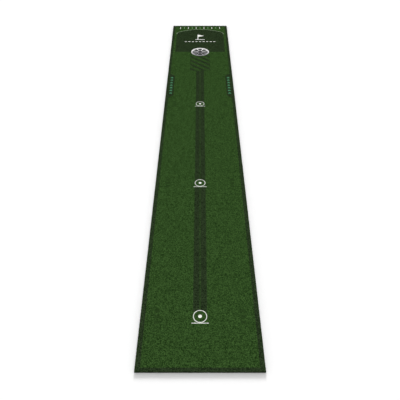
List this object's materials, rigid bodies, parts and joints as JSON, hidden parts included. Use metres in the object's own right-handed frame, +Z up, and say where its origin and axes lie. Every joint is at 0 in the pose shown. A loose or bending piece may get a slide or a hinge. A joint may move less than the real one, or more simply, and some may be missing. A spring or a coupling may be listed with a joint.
{
  "type": "practice putting mat",
  "caption": "Long flat putting mat: printed short-pile turf on a rubber backing, with a shallow lift-out cup near one end. It rolls up for storage.",
  "frame": {"origin": "on the floor, in the middle of the mat's length and width", "axes": "+Y along the mat towards the hole, +X to the right, +Z up"},
  "size_m": [0.366, 2.4, 0.0075],
  "materials": {
    "turf": "short dense pile, printed",
    "backing": "matt, non-slip",
    "cup": "satin moulded plastic"
  },
  "bodies": {
    "hole_end": {"turf_hole_end": "turf", "backing_hole_end": "backing"},
    "strip_01": {"turf_strip_01": "turf", "backing_strip_01": "backing"},
    "strip_02": {"turf_strip_02": "turf", "backing_strip_02": "backing"},
    "strip_03": {"turf_strip_03": "turf", "backing_strip_03": "backing"},
    "strip_04": {"turf_strip_04": "turf", "backing_strip_04": "backing"},
    "strip_05": {"turf_strip_05": "turf", "backing_strip_05": "backing"},
    "strip_06": {"turf_strip_06": "turf", "backing_strip_06": "backing"},
    "strip_07": {"turf_strip_07": "turf", "backing_strip_07": "backing"},
    "strip_08": {"turf_strip_08": "turf", "backing_strip_08": "backing"},
    "strip_09": {"turf_strip_09": "turf", "backing_strip_09": "backing"},
    "strip_10": {"turf_strip_10": "turf", "backing_strip_10": "backing"},
    "strip_11": {"turf_strip_11": "turf", "backing_strip_11": "backing"},
    "strip_12": {"turf_strip_12": "turf", "backing_strip_12": "backing"},
    "strip_13": {"turf_strip_13": "turf", "backing_strip_13": "backing"},
    "strip_14": {"turf_strip_14": "turf", "backing_strip_14": "backing"},
    "strip_15": {"turf_strip_15": "turf", "backing_strip_15": "backing"},
    "strip_16": {"turf_strip_16": "turf", "backing_strip_16": "backing"},
    "strip_17": {"turf_strip_17": "turf", "backing_strip_17": "backing"},
    "strip_18": {"turf_strip_18": "turf", "backing_strip_18": "backing"},
    "strip_19": {"turf_strip_19": "turf", "backing_strip_19": "backing"},
    "strip_20": {"turf_strip_20": "turf", "backing_strip_20": "backing"},
    "strip_21": {"turf_strip_21": "turf", "backing_strip_21": "backing"},
    "strip_22": {"turf_strip_22": "turf", "backing_strip_22": "backing"},
    "strip_23": {"turf_strip_23": "turf", "backing_strip_23": "backing"},
    "strip_24": {"turf_strip_24": "turf", "backing_strip_24": "backing"},
    "strip_25": {"turf_strip_25": "turf", "backing_strip_25": "backing"},
    "strip_26": {"turf_strip_26": "turf", "backing_strip_26": "backing"},
    "strip_27": {"turf_strip_27": "turf", "backing_strip_27": "backing"},
    "strip_28": {"turf_strip_28": "turf", "backing_strip_28": "backing"},
    "cup": {"cup": "cup"}
  },
  "joints": [
    {"name": "roll_up", "type": "hinge", "parent": "hole_end", "child": "strip_01", "pos_m": [0, 0.58, 0.0075], "axis": [-1, 0, 0], "range_deg": [0, 45]},
    {"name": "roll_up_02", "type": "hinge", "parent": "strip_01", "child": "strip_02", "pos_m": [0, 0.49686, 0.0075], "axis": [-1, 0, 0], "range_deg": [0, 45]},
    {"name": "roll_up_03", "type": "hinge", "parent": "strip_02", "child": "strip_03", "pos_m": [0, 0.41516, 0.0075], "axis": [-1, 0, 0], "range_deg": [0, 45]},
    {"name": "roll_up_04", "type": "hinge", "parent": "strip_03", "child": "strip_04", "pos_m": [0, 0.33492, 0.0075], "axis": [-1, 0, 0], "range_deg": [0, 45]},
    {"name": "roll_up_05", "type": "hinge", "parent": "strip_04", "child": "strip_05", "pos_m": [0, 0.25613, 0.0075], "axis": [-1, 0, 0], "range_deg": [0, 45]},
    {"name": "roll_up_06", "type": "hinge", "parent": "strip_05", "child": "strip_06", "pos_m": [0, 0.17878, 0.0075], "axis": [-1, 0, 0], "range_deg": [0, 45]},
    {"name": "roll_up_07", "type": "hinge", "parent": "strip_06", "child": "strip_07", "pos_m": [0, 0.10289, 0.0075], "axis": [-1, 0, 0], "range_deg": [0, 45]},
    {"name": "roll_up_08", "type": "hinge", "parent": "strip_07", "child": "strip_08", "pos_m": [0, 0.02844, 0.0075], "axis": [-1, 0, 0], "range_deg": [0, 45]},
    {"name": "roll_up_09", "type": "hinge", "parent": "strip_08", "child": "strip_09", "pos_m": [0, -0.04455, 0.0075], "axis": [-1, 0, 0], "range_deg": [0, 45]},
    {"name": "roll_up_10", "type": "hinge", "parent": "strip_09", "child": "strip_10", "pos_m": [0, -0.1161, 0.0075], "axis": [-1, 0, 0], "range_deg": [0, 45]},
    {"name": "roll_up_11", "type": "hinge", "parent": "strip_10", "child": "strip_11", "pos_m": [0, -0.18619, 0.0075], "axis": [-1, 0, 0], "range_deg": [0, 45]},
    {"name": "roll_up_12", "type": "hinge", "parent": "strip_11", "child": "strip_12", "pos_m": [0, -0.25484, 0.0075], "axis": [-1, 0, 0], "range_deg": [0, 45]},
    {"name": "roll_up_13", "type": "hinge", "parent": "strip_12", "child": "strip_13", "pos_m": [0, -0.32203, 0.0075], "axis": [-1, 0, 0], "range_deg": [0, 45]},
    {"name": "roll_up_14", "type": "hinge", "parent": "strip_13", "child": "strip_14", "pos_m": [0, -0.38778, 0.0075], "axis": [-1, 0, 0], "range_deg": [0, 45]},
    {"name": "roll_up_15", "type": "hinge", "parent": "strip_14", "child": "strip_15", "pos_m": [0, -0.45208, 0.0075], "axis": [-1, 0, 0], "range_deg": [0, 45]},
    {"name": "roll_up_16", "type": "hinge", "parent": "strip_15", "child": "strip_16", "pos_m": [0, -0.51492, 0.0075], "axis": [-1, 0, 0], "range_deg": [0, 45]},
    {"name": "roll_up_17", "type": "hinge", "parent": "strip_16", "child": "strip_17", "pos_m": [0, -0.57632, 0.0075], "axis": [-1, 0, 0], "range_deg": [0, 45]},
    {"name": "roll_up_18", "type": "hinge", "parent": "strip_17", "child": "strip_18", "pos_m": [0, -0.63627, 0.0075], "axis": [-1, 0, 0], "range_deg": [0, 45]},
    {"name": "roll_up_19", "type": "hinge", "parent": "strip_18", "child": "strip_19", "pos_m": [0, -0.69476, 0.0075], "axis": [-1, 0, 0], "range_deg": [0, 45]},
    {"name": "roll_up_20", "type": "hinge", "parent": "strip_19", "child": "strip_20", "pos_m": [0, -0.75181, 0.0075], "axis": [-1, 0, 0], "range_deg": [0, 45]},
    {"name": "roll_up_21", "type": "hinge", "parent": "strip_20", "child": "strip_21", "pos_m": [0, -0.80741, 0.0075], "axis": [-1, 0, 0], "range_deg": [0, 45]},
    {"name": "roll_up_22", "type": "hinge", "parent": "strip_21", "child": "strip_22", "pos_m": [0, -0.86156, 0.0075], "axis": [-1, 0, 0], "range_deg": [0, 45]},
    {"name": "roll_up_23", "type": "hinge", "parent": "strip_22", "child": "strip_23", "pos_m": [0, -0.91426, 0.0075], "axis": [-1, 0, 0], "range_deg": [0, 45]},
    {"name": "roll_up_24", "type": "hinge", "parent": "strip_23", "child": "strip_24", "pos_m": [0, -0.9655, 0.0075], "axis": [-1, 0, 0], "range_deg": [0, 45]},
    {"name": "roll_up_25", "type": "hinge", "parent": "strip_24", "child": "strip_25", "pos_m": [0, -1.0153, 0.0075], "axis": [-1, 0, 0], "range_deg": [0, 45]},
    {"name": "roll_up_26", "type": "hinge", "parent": "strip_25", "child": "strip_26", "pos_m": [0, -1.06365, 0.0075], "axis": [-1, 0, 0], "range_deg": [0, 45]},
    {"name": "roll_up_27", "type": "hinge", "parent": "strip_26", "child": "strip_27", "pos_m": [0, -1.11055, 0.0075], "axis": [-1, 0, 0], "range_deg": [0, 45]},
    {"name": "roll_up_28", "type": "hinge", "parent": "strip_27", "child": "strip_28", "pos_m": [0, -1.156, 0.0075], "axis": [-1, 0, 0], "range_deg": [0, 45]},
    {"name": "cup_lift", "type": "slide", "parent": "hole_end", "child": "cup", "axis": [0, 0, 1], "range_m": [0, 0.04]}
  ],
  "couplings": [
    {"joint": "roll_up_02", "follows": "roll_up", "ratio": 1},
    {"joint": "roll_up_03", "follows": "roll_up", "ratio": 1},
    {"joint": "roll_up_04", "follows": "roll_up", "ratio": 1},
    {"joint": "roll_up_05", "follows": "roll_up", "ratio": 1},
    {"joint": "roll_up_06", "follows": "roll_up", "ratio": 1},
    {"joint": "roll_up_07", "follows": "roll_up", "ratio": 1},
    {"joint": "roll_up_08", "follows": "roll_up", "ratio": 1},
    {"joint": "roll_up_09", "follows": "roll_up", "ratio": 1},
    {"joint": "roll_up_10", "follows": "roll_up", "ratio": 1},
    {"joint": "roll_up_11", "follows": "roll_up", "ratio": 1},
    {"joint": "roll_up_12", "follows": "roll_up", "ratio": 1},
    {"joint": "roll_up_13", "follows": "roll_up", "ratio": 1},
    {"joint": "roll_up_14", "follows": "roll_up", "ratio": 1},
    {"joint": "roll_up_15", "follows": "roll_up", "ratio": 1},
    {"joint": "roll_up_16", "follows": "roll_up", "ratio": 1},
    {"joint": "roll_up_17", "follows": "roll_up", "ratio": 1},
    {"joint": "roll_up_18", "follows": "roll_up", "ratio": 1},
    {"joint": "roll_up_19", "follows": "roll_up", "ratio": 1},
    {"joint": "roll_up_20", "follows": "roll_up", "ratio": 1},
    {"joint": "roll_up_21", "follows": "roll_up", "ratio": 1},
    {"joint": "roll_up_22", "follows": "roll_up", "ratio": 1},
    {"joint": "roll_up_23", "follows": "roll_up", "ratio": 1},
    {"joint": "roll_up_24", "follows": "roll_up", "ratio": 1},
    {"joint": "roll_up_25", "follows": "roll_up", "ratio": 1},
    {"joint": "roll_up_26", "follows": "roll_up", "ratio": 1},
    {"joint": "roll_up_27", "follows": "roll_up", "ratio": 1},
    {"joint": "roll_up_28", "follows": "roll_up", "ratio": 1}
  ]
}
